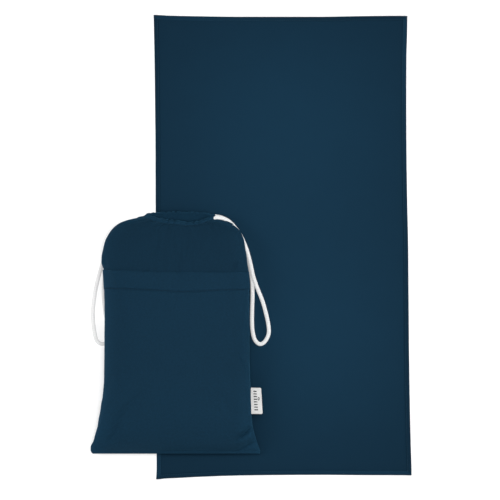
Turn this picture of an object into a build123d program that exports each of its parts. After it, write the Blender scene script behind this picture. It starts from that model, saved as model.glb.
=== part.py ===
from build123d import *
import os
from math import cos, pi, radians, sin, tan

# A quick dry towel spread flat, with its drawstring pouch lying on the lower left of it.
# Millimetres. X runs across the towel, Y along it, Z up. The origin is the middle of the
# towel's underside, on the surface that the towel lies on.

# ---- towel ----
TOWEL_W = 381.0
TOWEL_L = 698.5
SHEET_T = 1.2
HEM_W = 7.0
HEM_T = 2 * SHEET_T
FLAP_L = 139.0  # the top of the towel that turns over, down to its fold line
FOLD_Y = TOWEL_L / 2 - FLAP_L
THREAD_W = 0.8
THREAD_T = 0.3
THREAD_IN = HEM_W - 1.2  # from the towel's edge to its line of stitching

# ---- pouch ----
CLOTH_T = 1.2
CLOTH_GAP = 0.2  # between two layers of cloth that lie together
SEAM_GAP = 0.15  # between the front and the back panel at their seams
FRONT_POWER = 2.2  # how square the domed front is, 2 being an ellipse
BACK_POWER = 2.8  # the back is flatter, because the pouch rests on it
HALF_POINTS = 13  # points across one panel's curve
FILL_GAP = 2.3  # between the pouch's cloth and the towel packed in it
FILL_Y = (-296.0, 33.0)

# Cross-sections of the filled pouch from its bottom seam up to its shoulders:
# (y, left seam x, right seam x, height of the side seams, front's rise, back's drop)
SECTIONS = [
    (-313.0, -285.0, -34.5, 6.5, 1.9, 1.9),
    (-297.0, -282.8, -39.5, 12.5, 11.0, 8.7),
    (-268.0, -275.6, -45.2, 18.5, 20.5, 14.6),
    (-225.0, -269.6, -48.2, 21.6, 25.5, 17.8),
    (-160.0, -267.4, -49.6, 22.5, 27.0, 18.6),
    (-95.0, -267.0, -49.4, 22.5, 26.5, 18.6),
    (-35.0, -270.5, -50.5, 22.0, 24.5, 18.2),
    (2.0, -270.0, -56.0, 21.0, 19.5, 17.0),
    (24.0, -263.0, -66.0, 19.3, 13.5, 14.6),
    (34.0, -254.0, -77.0, 17.8, 8.5, 10.0),
    (39.0, -243.0, -89.0, 17.0, 2.2, 2.2),
]

# ---- front pocket ----
POCKET_TOP = -38.0
BAND_H = 28.5  # the pocket's hemmed top
BAND_T = 2 * CLOTH_T

# ---- gathered mouth: two casings that the drawcords run through ----
MOUTH_X = (-204.0, -101.0)
CASING_Y = (36.6, 52.4)
CASING_T = 9.4
CASING_WALL = 1.2
BACK_CASING_Z = 2.7
FRONT_CASING_Z = 18.2
CASING_CORNER = 2.6
NOTCH_GAP = 0.4  # between a casing and the panels it closes

# ---- drawcords ----
CORD_D = 6.0
ARC_SHARE = 0.45

# ---- side label ----
LABEL_Y = (-253.0, -213.4)
LABEL_W = 14.8
LABEL_T = 0.9
LABEL_X = -44.6  # its sewn edge, just outside the right side seam
LABEL_Z = 20.9
LABEL_CORNER = 3.0
LABEL_FOLD_D = 0.3  # the slot between the label's two layers


def block(x, y, z):
    """A box between two limits on each axis."""
    size = [high - low for low, high in (x, y, z)]
    middle = [(high + low) / 2 for low, high in (x, y, z)]
    return Pos(*middle) * Box(*size)


# ---------------------------------------------------------------- towel
def sheet(y_low, y_high):
    """The cloth inside the side hems, between two heights."""
    inner = TOWEL_W / 2 - HEM_W
    return block((-inner, inner), (y_low, y_high), (0, SHEET_T))


def side_hem(side, y_low, y_high):
    """The turned edge on one side of the towel, side being -1 or 1."""
    near, far = sorted((side * (TOWEL_W / 2 - HEM_W), side * TOWEL_W / 2))
    return block((near, far), (y_low, y_high), (0, HEM_T))


def end_hem(end):
    """The turned edge at the top (1) or the bottom (-1), between the side hems."""
    inner = TOWEL_W / 2 - HEM_W
    near, far = sorted((end * (TOWEL_L / 2 - HEM_W), end * TOWEL_L / 2))
    return block((-inner, inner), (near, far), (0, HEM_T))


def hem_thread(y_low, y_high, end):
    """The line of stitching along both side hems and the end hem that closes them."""
    x_out = TOWEL_W / 2 - THREAD_IN + THREAD_W / 2
    x_in = x_out - THREAD_W
    y_out = end * (TOWEL_L / 2 - THREAD_IN + THREAD_W / 2)
    y_in = y_out - end * THREAD_W
    z = (HEM_T, HEM_T + THREAD_T)
    low, high = (y_low, y_in) if end > 0 else (y_in, y_high)
    left = block((-x_out, -x_in), (low, high), z)
    right = block((x_in, x_out), (low, high), z)
    across = block((-x_out, x_out), sorted((y_in, y_out)), z)
    return left + right + across


# ---------------------------------------------------------------- pouch
def seam_to_seam(section, grow, front):
    """One panel's curve across the pouch, from its left seam to its right seam."""
    y, left, right, seam_z, rise, drop = section
    half = (right - left) / 2 + grow
    middle = (right + left) / 2
    height = max((rise if front else drop) + grow, 0.1)
    power = FRONT_POWER if front else BACK_POWER
    side = 1 if front else -1
    start_z = seam_z if front else seam_z - SEAM_GAP
    points = []
    for i in range(HALF_POINTS):
        turn = pi * i / (HALF_POINTS - 1)
        across = -cos(turn)
        x = middle + half * (1 if across > 0 else -1) * abs(across) ** (2 / power)
        z = start_z + side * height * max(sin(turn), 0.0) ** (2 / power)
        points.append((x, y, z))
    return points


def layer(inside, outside, front):
    """A layer of cloth over the whole pouch, between two distances from the panel's face."""
    faces = []
    for section in SECTIONS:
        outer = seam_to_seam(section, outside, front)
        inner = seam_to_seam(section, inside, front)
        edges = [
            Spline(*outer),
            Line(outer[-1], inner[-1]),
            Spline(*inner[::-1]),
            Line(inner[0], outer[0]),
        ]
        faces.append(make_face(edges))
    return loft(faces)


def stretch(solid, y_low, y_high):
    """The part of a solid between two heights on the pouch."""
    return solid & block((-400, 100), (y_low, y_high), (-50, 150))


def packed_towel():
    """The towel folded up in the pouch, which fills it."""
    inset = -(CLOTH_T + FILL_GAP)
    faces = []
    for section in SECTIONS[1:-1]:
        front = seam_to_seam(section, inset, True)
        back = seam_to_seam(section, inset, False)
        ends = [Line(front[0], back[0]), Line(front[-1], back[-1])]
        faces.append(make_face([Spline(*front), Spline(*back), *ends]))
    return stretch(loft(faces), *FILL_Y)


def casing(z_low):
    """One side of the gathered mouth: a flat tube of cloth, open at both ends."""
    outside = block(MOUTH_X, CASING_Y, (z_low, z_low + CASING_T))
    outside = fillet(outside.edges().filter_by(Axis.X), CASING_CORNER)
    y = (CASING_Y[0] + CASING_WALL, CASING_Y[1] - CASING_WALL)
    z = (z_low + CASING_WALL, z_low + CASING_T - CASING_WALL)
    channel = block((MOUTH_X[0] - 1, MOUTH_X[1] + 1), y, z)
    channel = fillet(channel.edges().filter_by(Axis.X), CASING_CORNER - CASING_WALL)
    return outside - channel


def label():
    """The side label: a loop of tape, folded at its outer edge and sewn in at the seam."""
    x = (LABEL_X, LABEL_X + LABEL_W)
    tape = block(x, LABEL_Y, (LABEL_Z, LABEL_Z + LABEL_T))
    outer_corners = tape.edges().filter_by(Axis.Z).group_by(Axis.X)[-1]
    tape = fillet(outer_corners, LABEL_CORNER)
    middle = LABEL_Z + LABEL_T / 2
    slot_z = (middle - LABEL_FOLD_D / 2, middle + LABEL_FOLD_D / 2)
    slot = block((LABEL_X - 1, LABEL_X + LABEL_W - LABEL_T), LABEL_Y, slot_z)
    return tape - slot


# ---------------------------------------------------------------- drawcords
CASING_MID_Y = (CASING_Y[0] + CASING_Y[1]) / 2 + 0.9
FRONT_CORD_Z = FRONT_CASING_Z + CASING_T / 2
BACK_CORD_Z = BACK_CASING_Z + CASING_T / 2

# Each cord comes out of the front casing, lies round its loop and goes into the back casing.
RIGHT_ROUTE = [
    (-150.0, CASING_MID_Y, FRONT_CORD_Z),
    (-97.0, CASING_MID_Y + 0.3, FRONT_CORD_Z - 0.4),
    (-84.0, 43.6, 17.5),
    (-72.5, 35.5, 11.8),
    (-62.0, 19.0, 10.9),
    (-53.0, -2.0, 10.8),
    (-47.0, -24.0, 10.8),
    (-42.5, -46.0, 10.4),
    (-36.0, -64.0, 7.0),
    (-28.0, -82.0, 4.6),
    (-22.3, -102.0, 4.3),
    (-20.4, -121.0, 4.4),
    (-22.6, -136.0, 4.3),
    (-28.6, -146.2, 4.4),
    (-37.6, -146.6, 4.3),
    (-43.4, -136.5, 4.4),
    (-45.4, -120.0, 4.3),
    (-46.0, -97.0, 4.4),
    (-45.2, -73.0, 4.3),
    (-46.0, -48.5, 4.3),
    (-49.5, -25.0, 4.3),
    (-55.0, -3.0, 4.4),
    (-63.5, 18.0, 4.6),
    (-74.0, 34.5, 5.0),
    (-85.0, 43.2, 6.2),
    (-97.0, CASING_MID_Y + 0.2, BACK_CORD_Z - 0.1),
    (-150.0, CASING_MID_Y, BACK_CORD_Z),
]
LEFT_ROUTE = [
    (-166.0, CASING_MID_Y, FRONT_CORD_Z),
    (-211.0, CASING_MID_Y + 0.3, FRONT_CORD_Z - 0.3),
    (-223.0, 46.6, 16.5),
    (-235.0, 43.5, 9.5),
    (-247.0, 35.0, 4.8),
    (-258.5, 21.0, 3.4),
    (-267.0, 2.0, 3.3),
    (-272.5, -19.0, 3.4),
    (-277.5, -41.0, 3.3),
    (-282.0, -62.0, 3.4),
    (-285.8, -83.0, 3.3),
    (-287.6, -101.0, 3.4),
    (-287.2, -116.0, 3.3),
    (-286.0, -130.5, 3.4),
    (-284.8, -143.8, 3.3),
    (-277.6, -148.1, 3.4),
    (-270.4, -143.8, 3.3),
    (-270.4, -130.0, 3.4),
    (-271.6, -115.0, 3.3),
    (-272.7, -99.0, 3.4),
    (-272.8, -81.0, 3.3),
    (-271.6, -61.0, 3.4),
    (-269.2, -41.0, 3.3),
    (-265.0, -21.0, 3.4),
    (-259.0, -2.0, 3.3),
    (-251.0, 14.0, 3.4),
    (-241.0, 27.5, 3.4),
    (-229.5, 37.0, 3.9),
    (-220.5, 42.8, 5.6),
    (-209.5, CASING_MID_Y + 0.2, BACK_CORD_Z - 0.1),
    (-166.0, CASING_MID_Y, BACK_CORD_Z),
]


def arc_radii(route):
    """The largest arc that each corner of a route leaves room for."""
    points = [Vector(*p) for p in route]
    radii = []
    for before, here, after in zip(points, points[1:], points[2:]):
        turn = radians((here - before).get_angle(after - here))
        shorter = min((here - before).length, (after - here).length)
        radii.append(ARC_SHARE * shorter / tan(turn / 2))
    return radii


def cord(route):
    """A round cord along a route of straight runs and tangent arcs."""
    path = FilletPolyline(*route, radius=arc_radii(route))
    start = Plane(origin=path @ 0, z_dir=path % 0)
    tube = sweep(start * Circle(CORD_D / 2), path=path)
    expected = pi * CORD_D**2 / 4 * path.length
    print("cord length", round(path.length, 1), "volume share", round(tube.volume / expected, 4))
    print("cord radii", [round(r, 1) for r in arc_radii(route)])
    return tube


# ---------------------------------------------------------------- the nodes
end_y = TOWEL_L / 2
inner_end = end_y - HEM_W
nodes = {
    "towel_sheet": sheet(-inner_end, FOLD_Y),
    "towel_hem_left": side_hem(-1, -end_y, FOLD_Y),
    "towel_hem_right": side_hem(1, -end_y, FOLD_Y),
    "towel_hem_bottom": end_hem(-1),
    "towel_hem_stitching": hem_thread(-end_y, FOLD_Y, -1),
    "flap_sheet": sheet(FOLD_Y, inner_end),
    "flap_hem_left": side_hem(-1, FOLD_Y, end_y),
    "flap_hem_right": side_hem(1, FOLD_Y, end_y),
    "flap_hem_top": end_hem(1),
    "flap_hem_stitching": hem_thread(FOLD_Y, end_y, 1),
}

mouth_notch = block(
    (MOUTH_X[0] - NOTCH_GAP, MOUTH_X[1] + NOTCH_GAP),
    (CASING_Y[0] - NOTCH_GAP, CASING_Y[1]),
    (-10, 60),
)
band_low = POCKET_TOP - BAND_H
bottom = SECTIONS[0][0]
front_face = layer(-CLOTH_T, 0.0, True)
pocket_layer = layer(CLOTH_GAP, CLOTH_GAP + CLOTH_T, True)
band_layer = layer(CLOTH_GAP, CLOTH_GAP + BAND_T, True)
thread_layer = layer(CLOTH_GAP + BAND_T, CLOTH_GAP + BAND_T + THREAD_T, True)
nodes["pouch_front_panel"] = front_face - mouth_notch
nodes["pouch_back_panel"] = layer(-CLOTH_T, 0.0, False) - mouth_notch
nodes["pocket_panel"] = stretch(pocket_layer, bottom, band_low)
nodes["pocket_hem_band"] = stretch(band_layer, band_low, POCKET_TOP)
nodes["pocket_stitching"] = stretch(thread_layer, band_low + 1.2, band_low + 1.2 + THREAD_W)
nodes["packed_towel"] = packed_towel()
nodes["casing_front"] = casing(FRONT_CASING_Z)
nodes["casing_back"] = casing(BACK_CASING_Z)
nodes["side_label"] = label()
nodes["right_drawcord"] = cord(RIGHT_ROUTE)
nodes["left_drawcord"] = cord(LEFT_ROUTE)

os.makedirs("parts", exist_ok=True)
for name, shape in nodes.items():
    export_step(shape, f"parts/{name}.step")
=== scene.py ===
from math import cos, pi, sin, sqrt, tau

import bpy
import numpy as np
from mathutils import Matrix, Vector
from numpy.linalg import norm


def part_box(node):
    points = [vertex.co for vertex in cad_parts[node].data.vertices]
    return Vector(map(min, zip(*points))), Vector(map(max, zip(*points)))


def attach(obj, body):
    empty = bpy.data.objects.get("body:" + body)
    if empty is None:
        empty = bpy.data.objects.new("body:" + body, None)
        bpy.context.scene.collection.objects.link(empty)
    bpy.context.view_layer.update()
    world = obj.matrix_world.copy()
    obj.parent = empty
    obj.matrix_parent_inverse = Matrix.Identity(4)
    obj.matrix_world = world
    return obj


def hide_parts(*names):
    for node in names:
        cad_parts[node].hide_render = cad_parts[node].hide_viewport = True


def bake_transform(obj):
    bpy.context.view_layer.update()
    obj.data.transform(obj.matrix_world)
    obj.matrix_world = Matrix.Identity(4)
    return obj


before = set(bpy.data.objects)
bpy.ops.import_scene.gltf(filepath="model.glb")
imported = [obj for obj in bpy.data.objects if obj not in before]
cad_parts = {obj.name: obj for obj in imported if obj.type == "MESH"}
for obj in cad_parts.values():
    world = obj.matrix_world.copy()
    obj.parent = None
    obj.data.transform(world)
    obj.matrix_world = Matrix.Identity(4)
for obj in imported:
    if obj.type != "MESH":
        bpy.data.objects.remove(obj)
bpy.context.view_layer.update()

# A quick dry towel spread flat, with its drawstring pouch on the lower left of it. Shapes are worked
# out in millimetres in the frame's own axes and written to the meshes in metres.
MM = 0.001


def node_box(node):
    """A node's lowest and highest corner in millimetres."""
    low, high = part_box(node)
    return np.array(low) / MM, np.array(high) / MM


def node_middle(node):
    """The middle of a node's box in millimetres."""
    return sum(node_box(node)) / 2


def new_mesh(name, points, faces):
    """A mesh from points in millimetres."""
    mesh = bpy.data.meshes.new(name)
    mesh.from_pydata((points * MM).tolist(), [], faces)
    return mesh


def add_object(name, data):
    """A new object, put in the scene."""
    thing = bpy.data.objects.new(name, data)
    bpy.context.scene.collection.objects.link(thing)
    return thing


# -------- sizes
HEM_LOW, HEM_HIGH = node_box("towel_hem_left")
HALF_W = -HEM_LOW[0]
HALF_L = -HEM_LOW[1]
HEM_W = HEM_HIGH[0] - HEM_LOW[0]
HEM_T = HEM_HIGH[2]
SHEET_T = node_box("towel_sheet")[1][2]
FOLD_Y = node_box("flap_sheet")[0][1]
CORD_D = 6.0
CORD_Y = node_middle("casing_front")[1] + 0.9
FRONT_Z = node_middle("casing_front")[2]
BACK_Z = node_middle("casing_back")[2]
POCKET_TOP = node_box("pocket_hem_band")[1][1]
BAND_LOW = node_box("pocket_hem_band")[0][1]
BOTTOM_Y = node_box("pouch_front_panel")[0][1]


# -------- camera and stage
VIEW_MIDDLE = (-48.3, -6.0)
VIEW_WIDTH = 755.0
CAMERA_HEIGHT = 8000.0
SENSOR = 36.0


def make_camera():
    """A long lens straight above, as wide as the towel and its pouch need."""
    data = bpy.data.cameras.new("camera")
    data.sensor_width = SENSOR
    data.lens = SENSOR * CAMERA_HEIGHT / VIEW_WIDTH
    data.clip_end = 60.0
    camera = add_object("camera", data)
    camera.location = (VIEW_MIDDLE[0] * MM, VIEW_MIDDLE[1] * MM, CAMERA_HEIGHT * MM)
    bpy.context.scene.camera = camera


# -------- numbers and grids
WAVES = 7


def unit(value):
    """The value, kept between 0 and 1."""
    return np.clip(value, 0, 1)


def smooth(at, knots, values):
    """A monotone cubic curve through knots, read at the places in at."""
    knots, values, at = (np.asarray(a, float) for a in (knots, values, at))
    step = np.diff(knots)
    slope = np.diff(values) / step
    turns = slope[:-1] * slope[1:] <= 0
    middle = 2 * slope[:-1] * slope[1:] / np.where(turns, 1, slope[:-1] + slope[1:])
    tangent = np.concatenate([[slope[0]], np.where(turns, 0, middle), [slope[-1]]])
    i = np.clip(np.searchsorted(knots, at) - 1, 0, len(step) - 1)
    t = unit((at - knots[i]) / step[i])
    rise = (1 + 2 * t) * (1 - t) ** 2 * values[i] + t * t * (3 - 2 * t) * values[i + 1]
    lean = t * (1 - t) ** 2 * tangent[i] - t * t * (1 - t) * tangent[i + 1]
    return rise + lean * step[i]


def ramp(low, high, at):
    """0 below low, 1 above high, smooth between them."""
    t = unit((at - low) / (high - low))
    return t * t * (3 - 2 * t)


def bell(at, width):
    """A bell curve, 1 in the middle."""
    return np.exp(-((at / width) ** 2))


def waves(x, y, wavelength, seed):
    """Smooth irregular waves of about one wavelength, between about -1 and 1."""
    draw = np.random.default_rng(seed)
    total = np.zeros(np.broadcast(x, y).shape)
    for _ in range(WAVES):
        heading = draw.uniform(0, tau)
        length = wavelength * draw.uniform(0.7, 1.6)
        phase = draw.uniform(0, tau)
        along = x * cos(heading) + y * sin(heading)
        total = total + np.sin(along * tau / length + phase)
    return total / sqrt(WAVES) / 1.2


def run_along(line):
    """How far along a line each of its points is."""
    return np.concatenate([[0], np.cumsum(norm(np.diff(line, axis=0), axis=1))])


def respace(line, count):
    """The same line, with evenly spaced points."""
    along = run_along(line)
    at = np.linspace(0, along[-1], count)
    return np.stack([np.interp(at, along, line[:, k]) for k in range(3)], axis=1)


def grid_faces(rows, cols, wrap=False):
    """The quads of a grid of points, row by row."""
    across = np.arange(cols if wrap else cols - 1)
    r, c = np.meshgrid(np.arange(rows - 1), across, indexing="ij")
    right = (c + 1) % cols
    quads = [r * cols + c, r * cols + right, (r + 1) * cols + right, (r + 1) * cols + c]
    return np.stack(quads, axis=-1).reshape(-1, 4)


def tube_faces(rows, cols):
    """The faces of a closed tube: its rings of quads and the two caps that end it."""
    last = (rows - 1) * cols
    caps = [list(range(cols))[::-1], list(range(last, last + cols))]
    return grid_faces(rows, cols, wrap=True).tolist() + caps


def make_piece(name, points, faces, material, cloth=None):
    """A smooth mesh object from points in millimetres, with its place on the flat cloth kept."""
    mesh = new_mesh(name, points, faces)
    mesh.validate()
    mesh.polygons.foreach_set("use_smooth", np.ones(len(mesh.polygons), bool))
    if cloth is not None:
        kept = mesh.attributes.new("cloth", "FLOAT_VECTOR", "POINT")
        kept.data.foreach_set("vector", (cloth * MM).astype(np.float32).ravel())
    mesh.materials.append(material)
    return add_object(name, mesh)


def normals_of(grid):
    """Unit normals of a grid of points that goes round, rows x cols x 3."""
    across = np.roll(grid, -1, axis=1) - np.roll(grid, 1, axis=1)
    normal = np.cross(across, np.gradient(grid, axis=0))
    return normal / np.maximum(norm(normal, axis=-1, keepdims=True), 1e-9)


def shell_piece(name, outer, inner, material, cloth):
    """A closed layer of cloth between two grids of the same shape."""
    rows, cols = outer.shape[:2]
    count = rows * cols
    front = grid_faces(rows, cols)
    back = front[:, ::-1] + count
    index = np.arange(count).reshape(rows, cols)
    down = index[::-1, 0]
    rim = np.concatenate([index[0], index[1:, -1], index[-1, -2::-1], down[1:-1]])
    after = np.roll(rim, -1)
    sides = np.stack([after, rim, rim + count, after + count], axis=-1)
    points = np.concatenate([outer.reshape(-1, 3), inner.reshape(-1, 3)])
    places = np.concatenate([cloth.reshape(-1, 3)] * 2)
    faces = np.concatenate([front, back, sides]).tolist()
    return make_piece(name, points, faces, material, places)


def refine(grid, axis, wrap=False):
    """Puts a point between each two along an axis, on the smooth curve through their neighbours."""
    g = np.moveaxis(grid, axis, 0)
    if wrap:
        padded = np.concatenate([g[-1:], g, g[:2]])
    else:
        padded = np.concatenate([2 * g[:1] - g[1:2], g, 2 * g[-1:] - g[-2:-1]])
    middle = (9 * (padded[1:-2] + padded[2:-1]) - padded[:-3] - padded[3:]) / 16
    out = np.empty((len(g) + len(middle), *g.shape[1:]))
    out[0::2] = g
    out[1::2] = middle
    return np.moveaxis(out, 0, axis)


# -------- materials
class Nodes:
    """A material's node tree, with short calls for the nodes used here."""

    def __init__(self, name):
        self.material = bpy.data.materials.new(name)
        self.material.use_nodes = True
        self.tree = self.material.node_tree
        self.shader = self.tree.nodes["Principled BSDF"]

    def add(self, kind, inputs=(), **settings):
        node = self.tree.nodes.new("ShaderNode" + kind)
        for key, value in settings.items():
            setattr(node, key, value)
        for key, value in dict(inputs).items():
            self.feed(node.inputs[key], value)
        return node

    def feed(self, socket, value):
        if isinstance(value, bpy.types.NodeSocket):
            self.tree.links.new(value, socket)
        else:
            socket.default_value = value

    def math(self, operation, a, b=0.0, c=0.0):
        return self.add("Math", {0: a, 1: b, 2: c}, operation=operation).outputs[0]

    def split(self, at):
        """A vector's X, Y and Z."""
        return self.add("SeparateXYZ", {"Vector": at}).outputs

    def place(self):
        """Where a point is on the flat cloth, in metres."""
        return self.add("Attribute", attribute_name="cloth").outputs["Vector"]

    def position(self):
        return self.add("TexCoord").outputs["Object"]

    def noise(self, at, size, detail=3.0, roughness=0.55):
        scale = 1 / (size * MM)
        inputs = {"Vector": at, "Scale": scale, "Detail": detail, "Roughness": roughness}
        return self.add("TexNoise", inputs).outputs["Fac"]

    def ribs(self, at, axis, pitch, wobble=0.0):
        """Rounded ribs across one axis, 0 in the grooves and 1 on top."""
        turns = self.math("MULTIPLY", self.split(at)[axis], pi / (pitch * MM))
        if wobble:
            turns = self.math("ADD", turns, wobble)
        return self.math("ABSOLUTE", self.math("SINE", turns))

    def shade(self, colour, value, low, high):
        """The colour, darker or lighter as value goes from 0 to 1."""
        share = self.add("MapRange", {"Value": value, "To Min": low, "To Max": high})
        inputs = {0: colour, "Scale": share.outputs[0]}
        return self.add("VectorMath", inputs, operation="SCALE").outputs[0]

    def soft_spots(self, at, spots):
        """1 in the middle of soft round spots and 0 far from them all, from (x, y, reach) of each."""
        total = 0.0
        for x, y, reach in spots:
            inputs = {0: at, 1: (x * MM, y * MM, 0.0)}
            away = self.add("VectorMath", inputs, operation="DISTANCE").outputs["Value"]
            near = self.math("DIVIDE", away, reach * MM)
            fall = self.math("MULTIPLY", self.math("MULTIPLY", near, near), -1.0)
            total = self.math("ADD", total, self.math("POWER", np.e, fall))
        return self.math("MINIMUM", total, 1.0)

    def bump(self, height, depth, strength, under=None):
        """Relief of a depth in millimetres, on top of another relief if there is one."""
        inputs = {"Height": height, "Distance": depth * MM, "Strength": strength}
        if under is not None:
            inputs["Normal"] = under
        return self.add("Bump", inputs).outputs["Normal"]

    def finish(self, colour, roughness, normal, sheen, tint, specular):
        for key, value in {
            "Base Color": colour,
            "Roughness": roughness,
            "Normal": normal,
            "Sheen Weight": sheen,
            "Sheen Tint": tint,
            "Sheen Roughness": 0.4,
            "Specular IOR Level": specular,
        }.items():
            self.feed(self.shader.inputs[key], value)
        return self.material


NAVY = (0.0040, 0.0226, 0.0446)
POUCH_NAVY = (0.0044, 0.0240, 0.0470)
NAVY_SHEEN = (0.10, 0.42, 0.72, 1)
TOWEL_THREAD = (0.008, 0.034, 0.062)
POUCH_THREAD = (0.0035, 0.017, 0.033)
LABEL_THREAD = (0.010, 0.012, 0.014)
WHITE = (1, 1, 1, 1)
CORD_WHITE = (0.50, 0.503, 0.503)
TAPE_WHITE = (0.535, 0.535, 0.53)
FLOOR_WHITE = (0.64, 0.64, 0.64)
FLOOR_GLOW = 0.42
# How strongly the cord glows, though it is no lamp: painted light.
CORD_GLOW = 0.25
# How bright the pouch's cloth is against POUCH_NAVY: lit and shaded copies of one cloth, with painted
# shade on the body above the pocket and painted light in the mouth; and how much painted light lifts its
# foot and a painted highlight its side seams.
POCKET_TONE = 0.855
BODY_SHADE_TONE = 0.755
MOUTH_LIGHT_TONE = 0.98
FOOT_LIGHT_TONE = 1.16
SEAM_HIGHLIGHT_TONE = 1.26
# Where painted pools of light lie on the flat towel, fading to painted shade toward its corners: x, y
# and reach of each spot.
PAINTED_LIGHT_POOLS = [(10, 195, 195), (40, -155, 180)]


def towel_cloth():
    """Smooth brushed microfibre: a very fine weave under a short even nap."""
    n = Nodes("towel_cloth")
    at = n.place()
    nap = n.noise(at, 1.6, 4.0, 0.6)
    brushed = n.noise(at, 38.0, 2.0)
    warp = n.ribs(at, "X", 0.7)
    weft = n.ribs(at, "Y", 0.7)
    weave = n.math("MULTIPLY", warp, weft)
    colour = n.shade(NAVY, nap, 0.88, 1.12)
    colour = n.shade(colour, brushed, 0.96, 1.04)
    # Painted light: lighter in soft pools, darker toward the towel's corners.
    colour = n.shade(colour, n.soft_spots(at, PAINTED_LIGHT_POOLS), 0.72, 1.06)
    # Darker in the weave's grooves: painted shade.
    colour = n.shade(colour, weave, 0.97, 1.03)
    rough = n.math("MULTIPLY_ADD", nap, 0.12, 0.78)
    normal = n.bump(weave, 0.05, 0.5, n.bump(nap, 0.12, 0.5))
    return n.finish(colour, rough, normal, 0.04, NAVY_SHEEN, 0.06)


def pouch_cloth(name, tone, side):
    """Fine rib knit: wales crossed by rows of loops, with painted shade in its grooves, painted light
    toward the foot and a painted highlight along the side seams.

    side is how far it is from one side seam to the other, in millimetres.
    """
    n = Nodes(name)
    at = n.place()
    fuzz = n.noise(at, 1.3, 4.0, 0.65)
    worn = n.noise(at, 26.0, 3.0)
    wobble = n.math("MULTIPLY", n.noise(at, 5.0), 0.9)
    wales = n.ribs(at, "X", 1.15, wobble)
    loops = n.ribs(at, "Y", 0.95, wobble)
    knit = n.math("MULTIPLY", wales, n.math("MULTIPLY_ADD", loops, 0.5, 0.5))
    heather = n.noise(at, 3.2, 3.0, 0.6)
    # Darker in the knit's grooves and lighter on its loops: painted shade.
    colour = n.shade(tuple(c * tone for c in POUCH_NAVY), knit, 0.84, 1.12)
    colour = n.shade(colour, fuzz, 0.73, 1.27)
    colour = n.shade(colour, heather, 0.71, 1.29)
    colour = n.shade(colour, worn, 0.95, 1.05)
    split = n.split(at)
    # Painted light: the cloth grows lighter toward the pouch's foot.
    foot = n.add("MapRange", {"Value": split["Y"], "From Min": 0.13, "From Max": -0.02})
    colour = n.shade(colour, foot.outputs[0], 1.0, FOOT_LIGHT_TONE)
    # Painted highlight: the cloth is lighter near each side seam, fading inwards.
    turn = n.math("MULTIPLY", split["X"], pi / (side * MM))
    from_seam = n.math("MULTIPLY", n.math("ABSOLUTE", n.math("SINE", turn)), 2.6)
    colour = n.shade(colour, n.math("MINIMUM", from_seam, 1.0), SEAM_HIGHLIGHT_TONE, 1.0)
    rough = n.math("MULTIPLY_ADD", fuzz, 0.12, 0.80)
    normal = n.bump(knit, 0.16, 0.6, n.bump(fuzz, 0.22, 0.5))
    return n.finish(colour, rough, normal, 0.20, NAVY_SHEEN, 0.06)


def thread(name, colour):
    """Twisted sewing thread, with painted shade between its plies."""
    n = Nodes(name)
    at = n.position()
    split = n.split(at)
    lean = n.math("ADD", split["X"], split["Y"])
    twist = n.math("ABSOLUTE", n.math("SINE", n.math("MULTIPLY", lean, pi / (0.45 * MM))))
    fuzz = n.noise(at, 0.5)
    # Darker between the twisted plies: painted shade.
    tone = n.shade(n.shade(colour, twist, 0.7, 1.15), fuzz, 0.85, 1.15)
    return n.finish(tone, 0.7, n.bump(twist, 0.08, 0.6), 0.03, NAVY_SHEEN, 0.12)


def cord_cloth():
    """Soft white braided cord, with a painted glow and painted shade in the braid's grooves."""
    n = Nodes("white_cord")
    fuzz = n.noise(n.position(), 0.9, 4.0, 0.6)
    relief = n.math("DIVIDE", n.split(n.place())["Z"], MM)
    # Darker in the braid's grooves: painted shade.
    tone = n.shade(CORD_WHITE, relief, 0.74, 1.03)
    tone = n.shade(tone, fuzz, 0.94, 1.05)
    # A glow though the cord is no lamp: painted light, darker in the braid's grooves as painted shade.
    n.feed(n.shader.inputs["Emission Color"], n.shade((1, 1, 1), relief, 0.8, 1.0))
    n.feed(n.shader.inputs["Emission Strength"], CORD_GLOW)
    return n.finish(tone, 0.85, n.bump(fuzz, 0.15, 0.5), 0.25, WHITE, 0.3)


def label_cloth():
    """Off-white woven satin tape with fine cross ribs."""
    n = Nodes("label_tape")
    at = n.place()
    ribs = n.ribs(at, "Y", 0.42)
    threads = n.ribs(at, "X", 0.25)
    cloud = n.noise(at, 6.0)
    # Darker in the grooves between the ribs: painted shade.
    tone = n.shade(TAPE_WHITE, ribs, 0.90, 1.03)
    tone = n.shade(n.shade(tone, threads, 0.96, 1.02), cloud, 0.96, 1.04)
    return n.finish(tone, 0.5, n.bump(ribs, 0.06, 0.5), 0.15, WHITE, 0.4)


def floor_paper():
    """Plain matt white paper."""
    n = Nodes("floor_paper")
    grain = n.noise(n.position(), 4.0)
    tone = n.shade(FLOOR_WHITE, grain, 0.995, 1.005)
    n.feed(n.shader.inputs["Emission Color"], WHITE)
    n.feed(n.shader.inputs["Emission Strength"], FLOOR_GLOW)
    return n.finish(tone, 0.9, n.bump(grain, 0.02, 0.1), 0.0, WHITE, 0.1)


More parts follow.
